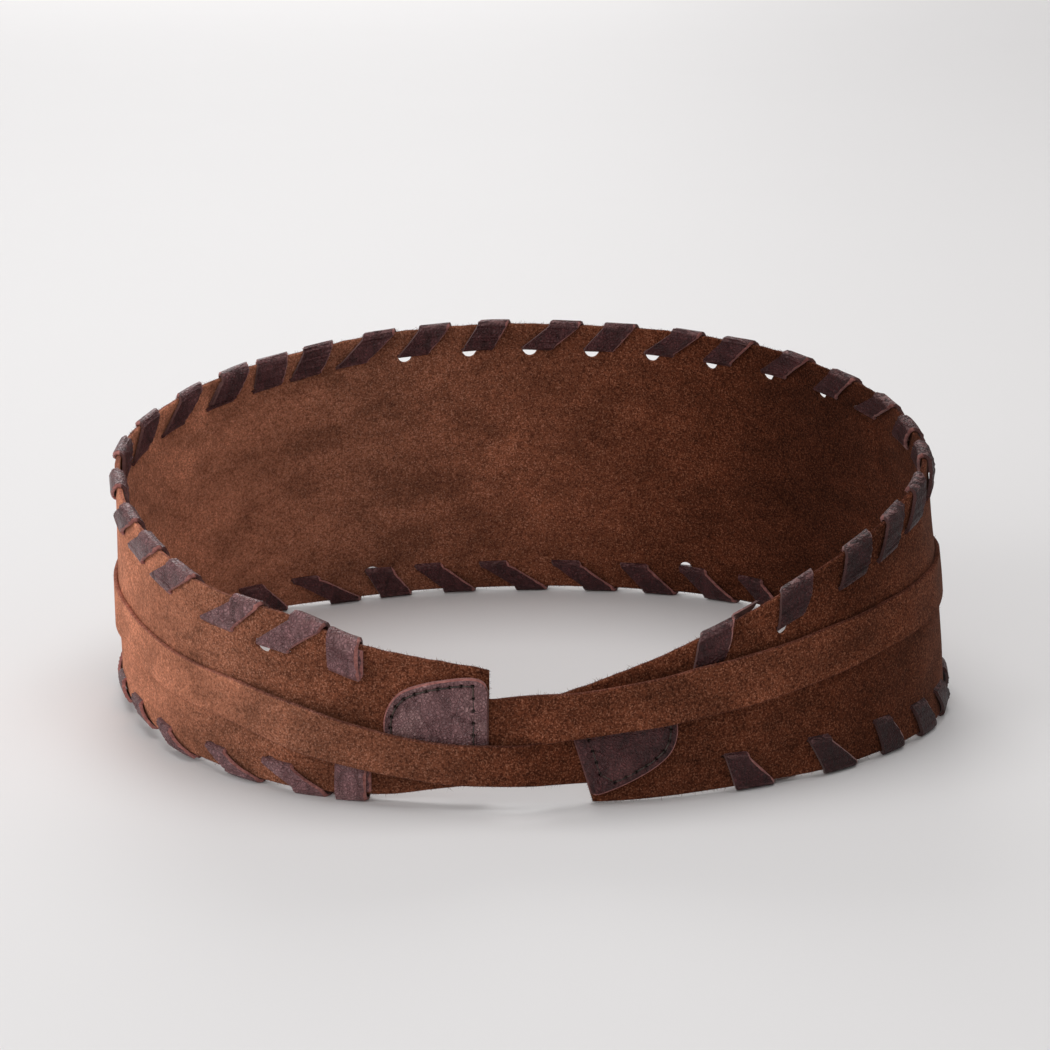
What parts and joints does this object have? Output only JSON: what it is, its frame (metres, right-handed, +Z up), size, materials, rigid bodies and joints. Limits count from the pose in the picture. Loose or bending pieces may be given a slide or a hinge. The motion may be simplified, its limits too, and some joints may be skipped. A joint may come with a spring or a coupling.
{
  "type": "headband",
  "caption": "Wide suede headband in an open oval loop that tapers to the front, whip-laced along both edges, with stitched end patches and two wrap-round tie straps.",
  "frame": {"origin": "middle of the underside of the overall box, on the surface the band stands on", "axes": "+Z up, the open front faces -Y, the tall back is at +Y, +X to the right as seen from the open front"},
  "size_m": [0.2044, 0.1588, 0.0769],
  "materials": {
    "suede": "napped suede, brown",
    "lace_leather": "satin, fine grain, dark purple-brown with raw pinkish cut edges",
    "patch_leather": "satin, pebbled grain, dark purple-brown",
    "thread": "waxed sewing thread, dark brown"
  },
  "bodies": {
    "root": {"suede_band": "suede", "left_tie_strap": "suede", "right_tie_strap": "suede", "top_lace_left": "lace_leather", "top_lace_right": "lace_leather", "bottom_lace": "lace_leather", "left_end_patch": "patch_leather", "right_end_patch": "patch_leather", "left_patch_thread": "thread", "right_patch_thread": "thread"}
  },
  "joints": []
}
